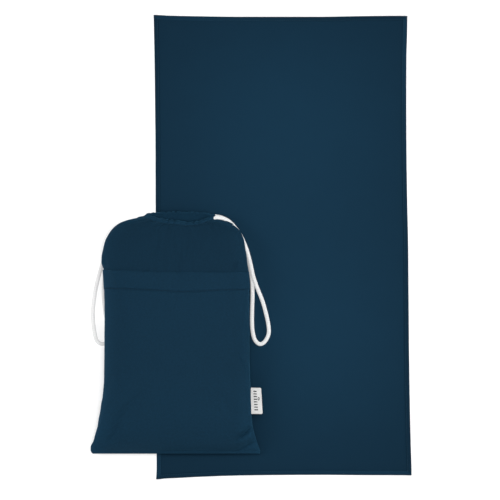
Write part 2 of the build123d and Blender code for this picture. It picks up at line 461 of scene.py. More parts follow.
# -------- drawcords
# The model's own routes, in millimetres: out of the front casing, round the loop, into the back one.
RIGHT_ROUTE = [
    (-150, 32.6, FRONT_Z - 1.7), (-133, 31.2, FRONT_Z - 1.7),
    (-117, 34.4, FRONT_Z - 3.4), (-106.5, 40.2, FRONT_Z - 5.7), (-97, 43.6, 16.6),
    (-85, 41.2, 16), (-75.3, 32.9, 11.8), (-64.6, 20.4, 10.9), (-54.4, -1, 10.8), (-48, -24, 10.8),
    (-43.6, -46, 10.4), (-37.2, -64, 7), (-29.4, -82, 4.6), (-24, -102, 4.3), (-20.2, -119, 4.4),
    (-19.4, -132.5, 4.3), (-25, -144.2, 4.4), (-33, -149.2, 4.4), (-40.2, -143.8, 4.3),
    (-43.6, -134.5, 4.4), (-45.4, -120, 4.3), (-45.2, -97, 4.4), (-44.2, -73, 4.3),
    (-45, -48.5, 4.3), (-49.5, -25, 4.3), (-55, -3, 4.4), (-64, 17, 4.6), (-74, 32.5, 5),
    (-85, 40.8, 6.2), (-97, CORD_Y - 0.4, BACK_Z - 0.1), (-115, CORD_Y - 0.6, BACK_Z),
    (-150, CORD_Y + 1.6, BACK_Z),
]
LEFT_ROUTE = [
    (-161, 33.6, FRONT_Z - 1.7), (-176, 34.6, FRONT_Z - 1.8),
    (-190, 37.4, FRONT_Z - 3), (-200.5, 39.6, FRONT_Z - 6), (-210.5, 39.4, 11.6),
    (-221.5, 37, 6.6), (-233, 32.4, 4), (-245, 23.4, 3.4), (-254.8, 10, 3.3), (-262.4, -5, 3.3),
    (-269.6, -22, 3.4), (-275.8, -42, 3.3), (-280.8, -62, 3.4), (-284, -83, 3.3),
    (-285.8, -101, 3.4), (-284.8, -117, 3.3), (-283.2, -130, 3.4), (-280.6, -141.6, 3.3),
    (-275.2, -147.6, 3.4), (-267.4, -147.6, 3.4), (-261.8, -141.8, 3.3), (-261.4, -130, 3.4),
    (-264.2, -115, 3.3), (-267.2, -99, 3.4), (-269.2, -81, 3.3), (-269.6, -61, 3.4),
    (-267.6, -41, 3.3), (-262, -22, 3.4), (-255.4, -6.5, 3.3), (-247.4, 6.5, 3.4),
    (-238.5, 17.5, 3.4), (-228, 25.4, 3.5), (-217, 31.6, 4.2), (-205.5, 37.6, 5.6),
    (-190, CORD_Y - 1.6, BACK_Z), (-161, CORD_Y + 0.6, BACK_Z),
]
CORD_STEP = 0.8
CORD_SIDES = 40
BRAID_STRANDS = 5
BRAID_PITCH = 13.0
BRAID_DEPTH = 0.28


def smooth_route(name, route):
    """Evenly spaced points on the smooth NURBS line of a route, in millimetres."""
    curve = bpy.data.curves.new(name, "CURVE")
    curve.dimensions = "3D"
    curve.resolution_u = 16
    spline = curve.splines.new("NURBS")
    spline.points.add(len(route) - 1)
    for point, place in zip(spline.points, route):
        point.co = (*(c * MM for c in place), 1.0)
    spline.order_u = 3
    spline.use_endpoint_u = True
    holder = bpy.data.objects.new(name, curve)
    mesh = bpy.data.meshes.new_from_object(holder)
    line = np.array([v.co for v in mesh.vertices]) / MM
    bpy.data.objects.remove(holder)
    bpy.data.meshes.remove(mesh)
    length = run_along(line)[-1]
    return respace(line, int(length / CORD_STEP)), length


def side_frames(line):
    """Two side directions at each point of a line, carried along it without twist."""
    ahead = np.gradient(line, axis=0)
    ahead /= norm(ahead, axis=1, keepdims=True)
    side = np.cross(ahead[0], (0, 0, 1.0))
    sides = []
    for direction in ahead:
        side = side - direction * (side @ direction)
        side = side / norm(side)
        sides.append(side)
    sides = np.array(sides)
    return sides, np.cross(ahead, sides)


def make_cord(name, node, route, body, material):
    """A round braided cord that lies along a route and goes back into the pouch."""
    line, length = smooth_route(name, route)
    side, over = side_frames(line)
    turn = np.linspace(0, tau, CORD_SIDES, endpoint=False)[None, :]
    along = np.linspace(0, length, len(line))[:, None]
    one = np.cos(BRAID_STRANDS * turn + tau * along / BRAID_PITCH)
    other = np.cos(BRAID_STRANDS * turn - tau * along / BRAID_PITCH)
    relief = np.maximum(np.abs(one), np.abs(other)) ** 0.7
    radius = CORD_D / 2 - BRAID_DEPTH * (1 - relief) * 2
    points = line[:, None, :] + radius[..., None] * (
        side[:, None, :] * np.cos(turn)[..., None] + over[:, None, :] * np.sin(turn)[..., None]
    )
    places = np.stack(np.broadcast_arrays(turn * CORD_D / 2, along, relief), axis=-1)
    piece = make_piece(name, points.reshape(-1, 3), tube_faces(*radius.shape), material, places)
    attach(piece, body)
    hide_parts(node)
    return line


# -------- towel
# The spread towel's outline: where its straight edges lie, as (y, x) or (x, y) knots and values.
RIGHT_EDGE = (
    (-349, -338, -308, -278, -232, -157, -81, -6, 70, 145, 220, 281, 326, 349),
    (195.6, 195.5, 194.6, 193.8, 192.9, 191.8, 191.15, 190.6, 189, 188.05, 187.7, 187.85, 188.95, 189.3),
)
LEFT_EDGE = (
    (-349, -330, -310, -100, 70, 145, 220, 281, 326, 349),
    (-190, -189.3, -189.3, -190, -190.8, -191, -191.7, -192.4, -193.3, -193.8),
)
BOTTOM_EDGE = (
    (-192, -186, -177, -162, -124, -63, -3, 57, 118, 178, 192),
    (-352.4, -352.1, -351.1, -350.4, -348.4, -346.4, -345.7, -345.5, -345.9, -346.1, -346.3),
)
TOP_EDGE = (
    (-192, -181, -169, -124, -63, -3, 57, 118, 178, 192),
    (349, 348.6, 347.9, 346.9, 346.1, 346.05, 346.05, 347, 347.6, 347.2),
)
SHEET_STEP = 3.0
SHEET_INSET = 2.5
HEM_STEP = 1.6
STITCH_IN = HEM_W - 1.4
STITCH_PITCH = 3.2
STITCH_LENGTH = 2.5
STITCH_R = 0.32
STITCH_SIDES = 6
# A stitch's rings: how far along it, how wide and how high each is.
STITCH_RINGS = [
    (-0.5, 0.15, -0.9), (-0.42, 0.8, -0.35), (-0.15, 1, 0),
    (0.15, 1, 0), (0.42, 0.8, -0.35), (0.5, 0.15, -0.9),
]


def lay(x, y, z):
    """A point of the flat towel, moved to where the spread towel has it."""
    left = smooth(y, *LEFT_EDGE)
    right = smooth(y, *RIGHT_EDGE)
    low = smooth(x, *BOTTOM_EDGE)
    high = smooth(x, *TOP_EDGE)
    across = (x + HALF_W) / (2 * HALF_W)
    along = (y + HALF_L) / (2 * HALF_L)
    out_x = left + (right - left) * across
    out_y = low + (high - low) * along
    rise = np.maximum(waves(x, y, 170, 11) * 0.5 + waves(x, y, 60, 12) * 0.12 + 0.25, 0)
    under_pouch = ramp(-10, -70, out_x) * ramp(90, 40, out_y)
    near_fold = bell(out_y - FOLD_Y, 26)
    rise = rise * (1 - 0.9 * under_pouch) * (1 - 0.8 * near_fold)
    return np.stack([out_x, out_y, z + rise], axis=-1)


def hem_height(inwards, along):
    """The top of a turned hem, from its outer edge inwards, drawn in at its stitches."""
    edge = np.sqrt(unit(inwards / 1.3))
    fold = 1 - 0.55 * ramp(HEM_W - 0.5, HEM_W, inwards)
    beat = 0.6 + 0.4 * np.cos(along * tau / STITCH_PITCH)
    pucker = 0.16 * bell(inwards - STITCH_IN, 0.9) * beat
    return HEM_T * (0.35 + 0.6 * edge) * fold - pucker * HEM_T + 0.05 * waves(along, inwards, 21, 31)


def towel_sheet(material):
    """The towel's cloth inside its hems, top and underside."""
    ends = HALF_W - SHEET_INSET, HALF_L - SHEET_INSET
    counts = int(2 * HALF_W / SHEET_STEP), int(2 * HALF_L / SHEET_STEP)
    gx, gy = np.meshgrid(*(np.linspace(-end, end, count) for end, count in zip(ends, counts)))
    cloth = np.stack([gx, gy, np.zeros_like(gx)], axis=-1)
    top = lay(gx, gy, np.full_like(gx, SHEET_T))
    under = lay(gx, gy, np.full_like(gx, 0.02))
    piece = shell_piece("towel_cloth", top, under, material, cloth)
    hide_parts("towel_sheet", "flap_sheet")
    return piece


def hem_strip(name, start, end, inwards, material):
    """A turned hem along the towel's edge, with the towel to the right of the way it goes."""
    start, end, inwards = (np.array(p, float) for p in (start, end, inwards))
    length = norm(end - start)
    share = np.linspace(0, 1, int(length / HEM_STEP))
    depth = np.array([0.0, 0.15, 0.5, 1.1, 2.2, 3.4, 4.4, 5.1, 5.6, 6.1, 6.5, 6.8, HEM_W])
    s, d = np.meshgrid(share * length, depth, indexing="ij")
    flat = start + (end - start) * (s / length)[..., None] + inwards * d[..., None]
    height = hem_height(d, s)
    top = lay(flat[..., 0], flat[..., 1], height)
    under = lay(flat[..., 0], flat[..., 1], np.full_like(height, 0.01))
    under[:, 0] = lay(flat[:, 0, 0], flat[:, 0, 1], np.full(len(share), HEM_T * 0.2))
    return shell_piece(name, top, under, material, np.stack([s, d, height], axis=-1))


def stitch_points(middle, along, up, length, radius):
    """One stitch: a short bent thread between two holes."""
    across = np.cross(up, along)
    turn = np.linspace(0, tau, STITCH_SIDES, endpoint=False)[:, None]
    rings = []
    for share, width, lift in STITCH_RINGS:
        centre = middle + along * (share * length) + up * (lift * radius)
        rings.append(centre + (across * np.cos(turn) + up * np.sin(turn)) * radius * width)
    return np.concatenate(rings)


def stitches(name, places, material, length=STITCH_LENGTH, radius=STITCH_R):
    """Many stitches as one piece, from (middle, along, up) of each in millimetres."""
    points = [stitch_points(*place, length, radius) for place in places]
    one = tube_faces(len(STITCH_RINGS), STITCH_SIDES)
    size = len(points[0])
    faces = [[i + size * k for i in face] for k in range(len(points)) for face in one]
    piece = make_piece(name, np.concatenate(points), faces, material)
    return piece


def hem_stitch_places(low_y, high_y, end):
    """Stitches along both side hems between two heights, and along the end hem."""
    x, y_end = HALF_W - STITCH_IN, end * (HALF_L - STITCH_IN)
    runs = [((side * x, low_y), (side * x, high_y)) for side in (-1, 1)]
    runs.append(((-x, y_end), (x, y_end)))
    places = []
    for start, finish in runs:
        start, finish = np.array(start), np.array(finish)
        length = norm(finish - start)
        for s in np.arange(STITCH_PITCH / 2, length, STITCH_PITCH):
            x0, y0 = start + (finish - start) * s / length
            top = hem_height(np.array([STITCH_IN]), np.array([s]))[0]
            along = np.append((finish - start) / length, 0.0)
            places.append((lay(x0, y0, top + 0.12), along, np.array([0, 0, 1.0])))
    return places


def make_towel():
    cloth = towel_cloth()
    dark_thread = thread("towel_thread", TOWEL_THREAD)
    sheet = towel_sheet(cloth)
    w, l = HALF_W, HALF_L
    sides = [
        hem_strip("towel_hem_left_edge", (-w, -l), (-w, l), (1, 0), cloth),
        hem_strip("towel_hem_right_edge", (w, l), (w, -l), (-1, 0), cloth),
    ]
    bottom = hem_strip("towel_hem_bottom_edge", (w - 0.4, -l), (-w + 0.4, -l), (0, 1), cloth)
    top = hem_strip("towel_hem_top_edge", (-w + 0.4, l), (w - 0.4, l), (0, -1), cloth)
    side_y = HALF_L - STITCH_IN
    lower = stitches("towel_stitches", hem_stitch_places(-side_y, FOLD_Y, -1), dark_thread)
    upper = stitches("flap_stitches", hem_stitch_places(FOLD_Y, side_y, 1), dark_thread)
    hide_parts("towel_hem_left", "flap_hem_left")
    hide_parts("towel_hem_right", "flap_hem_right")
    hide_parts("towel_hem_bottom")
    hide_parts("flap_hem_top")
    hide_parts("towel_hem_stitching")
    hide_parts("flap_hem_stitching")
    for piece in (sheet, *sides, upper):
        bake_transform(piece)
    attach(bottom, "towel")
    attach(lower, "towel")
    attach(top, "towel_flap")
    return cloth


# -------- pouch
# The pouch's cloth, row by row from the bottom seam up over the shoulders and into the mouth: a row's
# place up the cloth, the left and right seam's (x, y), the front's and the back's y at the middle, the
# seams' z, the front's rise and the back's drop.
POUCH_ROWS = [
    (0, -285, -313.2, -33, -313.2, -313.2, -313.2, 6.5, 1.6, 1.6),
    (4, -288.2, -309.8, -33, -309.5, -309.2, -309.2, 6.9, 2.3, 2.1),
    (10, -288.6, -303.6, -34.8, -303.5, -303.2, -303.2, 8.8, 5.8, 4.4),
    (20, -284.5, -293.4, -38.2, -293.2, -293, -293, 13.2, 13.2, 9.4),
    (35, -280.1, -278, -42.6, -278, -278, -278, 17.2, 18.6, 13.2),
    (46, -277.3, -267, -44.6, -267, -267, -267, 18.7, 20.8, 14.9),
    (74, -272.5, -239, -47.2, -239, -239, -239, 21, 24.2, 17.3),
    (102, -268.5, -211, -48, -211, -211, -211, 21.9, 25.4, 18.1),
    (153, -267.4, -160, -49.4, -160, -160, -160, 22.5, 26.6, 18.8),
    (218, -267.2, -95, -49.4, -95, -95, -95, 22.5, 26.2, 18.8),
    (278, -269.6, -35, -50.8, -35, -35, -35, 22, 24.6, 18.4),
    (289, -272.8, -23.4, -52, -23, -25, -24.6, 21.7, 23.6, 18.1),
    (300, -271.6, -11, -54.2, -10, -14, -13, 21.3, 22.2, 17.6),
    (318, -266.6, 9, -57.4, 10, 0.6, 3, 20.3, 19.6, 16.6),
    (334, -257.5, 24.5, -62.8, 23, 11.5, 15.5, 19.2, 16.8, 15.4),
    (347, -246, 34.6, -73, 31.8, 20.5, 26.5, 18, 14.6, 14.2),
    (357, -231.5, 39.8, -85.5, 37.6, 28, 35.5, 17, 13.2, 13.4),
    (364, -216.5, 42.6, -95.5, 40.4, 31.2, 41.5, 16, 12.6, 12.6),
    (369, -208, 44.2, -100.7, 41.2, 32.4, 45, 15.4, 12, 12.2),
    (376, -205.2, 46.6, -100.5, 44, 35.4, 48.6, 15.1, 11.8, 12),
    (382, -204.8, 48.4, -100.7, 46.6, 38, 51.2, 15, 9.4, 9),
    (386, -203.8, 49.2, -101.1, 48, 38.8, 51.6, 15, 6.4, 3.4),
    (390, -202, 48.6, -101.8, 47.4, 38.2, 50.2, 15, 3.6, -0.4),
    (395, -201, 46, -102.4, 45.2, 36, 46.4, 15, 1.8, 2.2),
    (400, -200, 43, -103, 42.4, 33, 41, 15, 1.8, 3.8),
    (405, -200, 41, -103.4, 40.4, 31, 36.6, 15, 5, 4.4),
    (410, -200, 39.4, -103.4, 39, 29.8, 33, 15, 9.2, 5.2),
]
# Where the casing begins up the cloth, its ends, and the columns left open there for the cords.
CASING_V = 369
CASING_ENDS = (-208.0, -100.0)
CASING_OPEN = 2
HALF_COLS = 76
ROW_STEP = 3.3
CLOTH_T = 1.2
# How square the cross-section is in front and behind; 2 is round.
FRONT_SQUARE = 2.5
BACK_SQUARE = 2.9
MOUTH_DIP = 3.4
MOUTH_DIP_X = -132.0
MOUTH_DIP_REACH = 21.0
PLEATS = 9.5
PLEAT_DEPTH = 2.1
# The lowest the underside goes, and how softly it is held there.
SURFACE_Z = 2.9
SURFACE_SOFT = 1.5
# Where the pouch lies on a cord: the highest cord it is lifted over, how wide the lift is against its
# height, the least thickness it leaves in cloth thicknesses, and the points worked on at once.
UNDER_Z = 13.5
CORD_REACH = 1.8
LEAST_T = 2.2
CORD_BLOCK = 400
# How far the pocket's edge stands off the pouch, and how far down it begins to.
GAPE = 0.9
GAPE_DEPTH = 24
BUNDLE_FOLDS = 8
BUNDLE_GAP = 4.0
BUNDLE_LOW = 22
BUNDLE_HIGH = 338
# Fold lines pressed into the front: start, end, depth (raised where negative) and width.
FOLDS = [
    ((-45, -272.5), (-66, -289.5), 7.6, 3.8),
    ((-41.5, -283), (-64, -296), -2.6, 3.4),
    ((-41, -294), (-67, -307.5), 6, 3.8),
    ((-37.6, -288), (-34.4, -308), -1.6, 2.4),
    ((-281, -277), (-276.5, -303), 1.6, 3),
    ((-283, -300), (-262, -306), 1.2, 2.6),
    ((-62.5, -160), (-51.5, -186), -2.2, 2.6),
    ((-68, -160), (-55, -196), 1.4, 3),
    ((-57, -128), (-55, -172), -2.6, 2.6),
    ((-53.4, -178), (-51.6, -214), -2.2, 2.4),
    ((-250, 30.5), (-206, 39), 1.6, 1.7),
    ((-99, 35.5), (-72, 26), 2.8, 2.4),
    ((-106.5, 36), (-103.5, 27), 2.2, 2.4),
    ((-266.5, -17), (-265, -32), 2.6, 2.6),
    ((-67.5, -20), (-69.5, -34), 2.6, 2.8),
]
# The cloth simulation: its frames, how far a point may move, how firmly the side seams are held, and
# how much wider than drawn the cloth was cut at the mouth and everywhere.
SIM_FRAMES = 24
SIM_CAP = 7.0
SEAM_HOLD = 0.35
MOUTH_SPARE = 0.30
BODY_SPARE = 0.012
CLOTH_SETTINGS = {
    "quality": 6,
    "mass": 0.2,
    "tension_stiffness": 25,
    "compression_stiffness": 12,
    "shear_stiffness": 8,
    "bending_stiffness": 0.25,
    "tension_damping": 12,
    "compression_damping": 12,
    "shear_damping": 10,
    "air_damping": 3,
    "use_pressure": True,
    "uniform_pressure_force": 3.0,
}


def row_places():
    """How far up the cloth each row of the pouch's grid is, with rows at the pocket's edges."""
    marks = [0, 5, BAND_LOW - BOTTOM_Y, POCKET_TOP - BOTTOM_Y, CASING_V, POUCH_ROWS[-1][0]]
    places = [0.0]
    for low, high in zip(marks, marks[1:]):
        count = max(2, round((high - low) / ROW_STEP))
        places += list(np.linspace(low, high, count + 1)[1:])
    return np.array(places)


def half_row(left, right, middle_y, seam_z, height, square):
    """One half of a row, from the left seam to the right seam, evenly spaced."""
    turn = np.linspace(0, pi, 400)
    across = -np.cos(turn)
    half = (right[0] - left[0]) / 2
    x = (right[0] + left[0]) / 2 + half * np.sign(across) * np.abs(across) ** (2 / square)
    lift = np.sin(turn).clip(0) ** (2 / square)
    share = (x - left[0]) / (right[0] - left[0])
    seam_y = left[1] + (right[1] - left[1]) * share
    inward = unit(4 * share * (1 - share)) ** 0.8
    y = seam_y + (middle_y - seam_y) * inward
    return respace(np.stack([x, y, seam_z + height * lift], axis=1), HALF_COLS + 1)


def row_values(places):
    """What POUCH_ROWS says, smoothed, at other places up the cloth."""
    table = np.array(POUCH_ROWS, float)
    return [smooth(places, table[:, 0], table[:, k]) for k in range(1, table.shape[1])]


def pouch_grid():
    """The pouch's outside as a grid: up the cloth, then round it from the left seam over the front."""
    places = row_places()
    rows = []
    for lx, ly, rx, ry, front_y, back_y, seam_z, rise, drop in zip(*row_values(places)):
        front = half_row((lx, ly), (rx, ry), front_y, seam_z, rise, FRONT_SQUARE)
        back = half_row((lx, ly), (rx, ry), back_y, seam_z, -drop, BACK_SQUARE)
        rows.append(np.concatenate([front, back[-2:0:-1]]))
    return places, np.array(rows)


def pleats(share, seed):
    """Irregular gathers across one side of the mouth, sharp in their valleys and round on top."""
    draw = np.random.default_rng(seed)
    bend = 0
    for k in (1, 2, 3):
        bend = bend + draw.uniform(-0.35, 0.35) * np.sin(tau * k * share + draw.uniform(0, 6))
    wave = np.abs(np.cos(pi * (PLEATS * share + bend)))
    size = 0.75 + 0.25 * np.sin(tau * 2.3 * share + draw.uniform(0, 6))
    return (wave**0.8 - 0.6) * size


def gather(places, grid):
    """Draws the cloth into gathers that fade out below the mouth."""
    normal = normals_of(grid)
    share = np.concatenate([np.linspace(0, 1, HALF_COLS + 1), np.linspace(1, 0, HALF_COLS + 1)[1:-1]])
    back = np.arange(len(share)) > HALF_COLS
    wave = np.where(back, pleats(share, 5), pleats(share, 3))
    seam = unit(np.sin(pi * share)) ** 0.3
    reach = ramp(316, 374, places) ** 1.7 * ramp(400, 388, places)
    fine = waves(share * 240, places[:, None] * 0.3, 9, 21) * 0.25
    depth = PLEAT_DEPTH * reach[:, None] * seam * (wave + fine * reach[:, None])
    depth = np.where(places[:, None] > CASING_V, np.maximum(depth, -0.7), depth)
    out = grid + normal * depth[..., None]
    dip = MOUTH_DIP * bell(grid[..., 0] - MOUTH_DIP_X, MOUTH_DIP_REACH)
    out[..., 1] -= np.where(back, 0, dip * ramp(340, 384, places)[:, None])
    return out


def inflate(places, grid):
    """Lets the cloth settle under the pressure of what is packed in it."""
    rows, cols = grid.shape[:2]
    faces = grid_faces(rows, cols, wrap=True).tolist()
    for row, turn in ((0, 1), (rows - 1, -1)):
        for i in range(HALF_COLS):
            loop = dict.fromkeys(row * cols + c for c in (i + 1, i, (cols - i) % cols, cols - i - 1))
            faces.append(list(loop)[::turn])
    body = add_object("pouch_start", new_mesh("pouch_start", grid.reshape(-1, 3), faces))
    held = body.vertex_groups.new(name="held")
    weight = np.ones((rows, cols)) * np.maximum(ramp(9, 3, places), ramp(362, 370, places))[:, None]
    for seam in (0, HALF_COLS):
        weight[:, seam] = np.maximum(weight[:, seam], SEAM_HOLD)
    for i, w in enumerate(weight.ravel()):
        if w > 0:
            held.add([i], float(w), "REPLACE")
    body.shape_key_add(name="Basis")
    uncut = body.shape_key_add(name="uncut")
    middle = grid[:, :, 0].mean(axis=1, keepdims=True)
    spare = 1 + MOUTH_SPARE * ramp(318, 366, places)[:, None] + BODY_SPARE
    wide = grid.copy()
    wide[..., 0] = middle + (grid[..., 0] - middle) * spare
    uncut.data.foreach_set("co", (wide.reshape(-1, 3) * MM).ravel())
    modifier = body.modifiers.new("cloth", "CLOTH")
    settings = modifier.settings
    for key, value in CLOTH_SETTINGS.items():
        setattr(settings, key, value)
    settings.vertex_group_mass = "held"
    settings.rest_shape_key = uncut
    settings.effector_weights.gravity = 0
    modifier.collision_settings.use_collision = False
    modifier.point_cache.frame_start = 1
    modifier.point_cache.frame_end = SIM_FRAMES
    scene = bpy.context.scene
    for step in range(1, SIM_FRAMES + 1):
        scene.frame_set(step)
    settled = body.evaluated_get(bpy.context.evaluated_depsgraph_get())
    out = np.empty(rows * cols * 3)
    settled.to_mesh().vertices.foreach_get("co", out)
    settled.to_mesh_clear()
    scene.frame_set(1)
    bpy.data.objects.remove(body)
    moved = out.reshape(rows, cols, 3) / MM - grid
    size = norm(moved, axis=-1, keepdims=True)
    share = np.minimum(1, SIM_CAP / np.maximum(size, 1e-9))
    return grid + moved * share


def crease(front, start, end, depth, width):
    """Presses a fold line into the pouch's front, or raises it where depth is negative."""
    start, end = np.array(start, float), np.array(end, float)
    run = end - start
    at = front[..., :2] - start
    share = unit((at @ run) / (run @ run))
    away = norm(at - share[..., None] * run, axis=-1)
    fade = np.sin(pi * np.clip(share, 0.08, 0.92)) ** 0.5
    front[..., 2] -= depth * fade * bell(away, width)


def make_pouch_grid():
    """The settled pouch at its final fineness: how far up each row is, and the grid."""
    places, grid = pouch_grid()
    grid = gather(places, grid)
    grid = inflate(places, grid)
    grid = refine(refine(grid, 0), 1, wrap=True)
    places = refine(places, 0)
    level = SURFACE_Z + SURFACE_SOFT
    press = SURFACE_Z + SURFACE_SOFT * np.exp((grid[..., 2] - level) / SURFACE_SOFT)
    grid[..., 2] = np.where(grid[..., 2] < level, np.minimum(press, level), grid[..., 2])
    return places, grid


def rest_on_cords(grid, cord_lines):
    """Lifts the pouch's underside over the cords that lie beneath it."""
    under = np.arange(grid.shape[1] // 2, grid.shape[1])
    cap = grid[:, grid.shape[1] - under, 2] - LEAST_T * CLOTH_T
    clear = CORD_D / 2 + CLOTH_T + 0.5
    reach = clear * CORD_REACH
    for line in cord_lines:
        in_casing = (line[:, 0] > CASING_ENDS[0]) & (line[:, 0] < CASING_ENDS[1])
        line = line[~in_casing & (line[:, 2] < UNDER_Z)]
        for start in range(0, len(line), CORD_BLOCK):
            part = line[start : start + CORD_BLOCK : 2]
            away = norm(grid[:, under, None, :2] - part[:, :2], axis=-1)
            top = part[:, 2] + clear * np.sqrt(unit(1 - (away / reach) ** 2))
            top = np.where(away < reach, top, 0).max(axis=-1)
            grid[:, under, 2] = np.maximum(grid[:, under, 2], np.minimum(top, cap))


def seam_pull(places, grid):
    """Draws the cloth in along the side seams, with the small puckers that sewing leaves."""
    cols = grid.shape[1]
    half = cols // 2
    column = np.arange(cols)
    away = np.minimum(np.minimum(column, cols - column), np.abs(column - half)) * 1.65
    pucker = 0.5 + 0.35 * waves(places[:, None], column[None, :] * 0.02, 13, 41)
    depth = 0.9 * pucker * bell(away, 1.8) * ramp(2, 14, places)[:, None]
    return grid - normals_of(grid) * depth[..., None]


def rows_at(places, grid, wanted):
    """The grid's points at other places up the cloth, one set of places for each column."""
    out = np.empty((*wanted.shape, 3))
    for column in range(grid.shape[1]):
        for k in range(3):
            out[:, column, k] = np.interp(wanted[:, column], places, grid[:, column, k])
    return out


class Pouch:
    """The pouch's finished surface, and the pieces of cloth laid on it."""

    def __init__(self, cord_lines):
        self.places, grid = make_pouch_grid()
        rest_on_cords(grid, cord_lines)
        grid = seam_pull(self.places, grid)
        half = grid.shape[1] // 2
        for fold in FOLDS:
            crease(grid[:, : half + 1], *fold)
        self.grid = grid
        self.half = half
        self.normal = normals_of(grid)
        width = norm(np.diff(grid, axis=1), axis=-1)[len(grid) // 2].sum()
        self.across = np.arange(grid.shape[1]) * width / grid.shape[1]
        self.front = list(range(half + 1))
        self.back = [*range(half, grid.shape[1]), 0]
        self.casing_row = int(np.argmin(np.abs(self.places - CASING_V)))

    def layer(self, name, material, columns, wanted, low, high, node):
        """A layer of cloth over some columns, at places up the cloth, between two offsets."""
        grid = rows_at(self.places, self.grid[:, columns], wanted)
        normal = rows_at(self.places, self.normal[:, columns], wanted)
        normal /= norm(normal, axis=-1, keepdims=True)
        low, high = (np.broadcast_to(o, wanted.shape)[..., None] for o in (low, high))
        cloth = np.stack(np.broadcast_arrays(self.across[columns][None, :], wanted, 0.0), axis=-1)
        piece = shell_piece(name, grid + normal * high, grid + normal * low, material, cloth)
        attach(piece, "pouch")
        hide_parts(node)
        return piece

    def rows(self, first, last):
        """The grid's own places between two rows, for each column of one side."""
        return np.broadcast_to(self.places[first:last, None], (last - first, self.half + 1))

    def on_front(self, place, column, lift):
        """A point and its normal on the front at a fractional column."""
        low = int(column)
        share = column - low
        points = []
        for grid in (self.grid, self.normal):
            pair = rows_at(self.places, grid[:, low : low + 2], np.full((1, 2), place))[0]
            points.append(pair[0] * (1 - share) + pair[1] * share)
        up = points[1] / norm(points[1])
        return points[0] + up * lift, up

    def stitch_run(self, name, material, curve, lift, margin, node=None):
        """A row of stitches across the front, at curve(share) up the cloth."""
        shares = np.linspace(0, 1, 1200)
        line = []
        for share in shares:
            column = margin + share * (self.half - 2 * margin)
            line.append(self.on_front(curve(column / self.half), min(column, self.half - 0.01), lift))
        points = np.array([p for p, _ in line])
        along = run_along(points)
        places = []
        for at in np.arange(STITCH_PITCH, along[-1] - STITCH_PITCH, STITCH_PITCH):
            i = int(np.searchsorted(along, at))
            ahead = points[min(i + 2, len(points) - 1)] - points[max(i - 2, 0)]
            places.append((points[i], ahead / norm(ahead), line[i][1]))
        piece = stitches(name, places, material)
        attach(piece, "pouch")
        if node:
            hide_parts(node)


def pocket_top(share):
    """How far up the cloth the pocket's edge is, from left to right."""
    return POCKET_TOP - BOTTOM_Y + smooth(share, (0, 0.08, 0.5, 0.92, 1), (2.6, 2.2, -1.6, -0.8, 0.4))


def pocket_seam(share):
    """How far up the cloth the pocket's hem is sewn."""
    return BAND_LOW - BOTTOM_Y + smooth(share, (0, 0.25, 0.55, 0.8, 1), (3.6, 1.6, -1.8, 0.6, 2.6))


def make_pocket(pouch, cloth, seam_thread):
    """The pocket's panel with its turned and sewn top hem."""
    share = np.linspace(0, 1, pouch.half + 1)
    top, seam = pocket_top(share), pocket_seam(share)
    gape = np.sin(pi * share).clip(0) ** 0.5
    sewn = ramp(0, 0.03, share) * ramp(0, 0.03, 1 - share)
    count = int(pocket_top(0.5) / 1.7)
    up = np.linspace(0, 1, count)[:, None]
    wanted = up * (top - 0.6)
    rising = ramp(top - GAPE_DEPTH, top, wanted)
    base = 0.12 + GAPE * gape * rising
    begin = ramp(0, 9, wanted)
    thick = 0.25 + (0.2 + 0.75 * sewn) * begin
    low, high = base * begin, base * begin + thick
    pouch.layer("pocket_front", cloth, pouch.front, wanted, low, high, "pocket_panel")

    runs = np.linspace(0, 4.5, 10), np.linspace(5.5, 24, 15), np.linspace(25, 28.2, 7)
    depth = np.concatenate([*runs, [28.7, 29.1]]) / 29.1
    wanted = (seam - 2.2) + depth[:, None] * (top - seam + 2.2)
    rising = ramp(top - GAPE_DEPTH, top, wanted)
    base = 0.62 + 0.72 * sewn + GAPE * gape * rising
    from_seam = wanted - seam
    groove = bell(from_seam, 1.1)
    pucker = 0.10 * waves(share[None, :] * 190, from_seam * 0.2, 8, 61) * bell(from_seam, 4)
    edge = np.sqrt(unit((top - wanted) / 1.4))
    start = ramp(-2.3, -1.0, from_seam)
    puff = 0.35 * np.sin(pi * unit(from_seam / (top - seam)))
    full = (0.95 + puff) * (0.3 + 0.7 * sewn)
    high = base + 0.12 + full * start * (0.25 + 0.75 * edge) - (groove - pucker) * sewn
    low = base - 0.02 - 0.9 * (1 - edge)
    high = np.maximum(high, base + 0.1)
    pouch.layer("pocket_band", cloth, pouch.front, wanted, low, high, "pocket_hem_band")
    pouch.stitch_run("pocket_stitches", seam_thread, pocket_seam, 2.0, 1.5, "pocket_stitching")


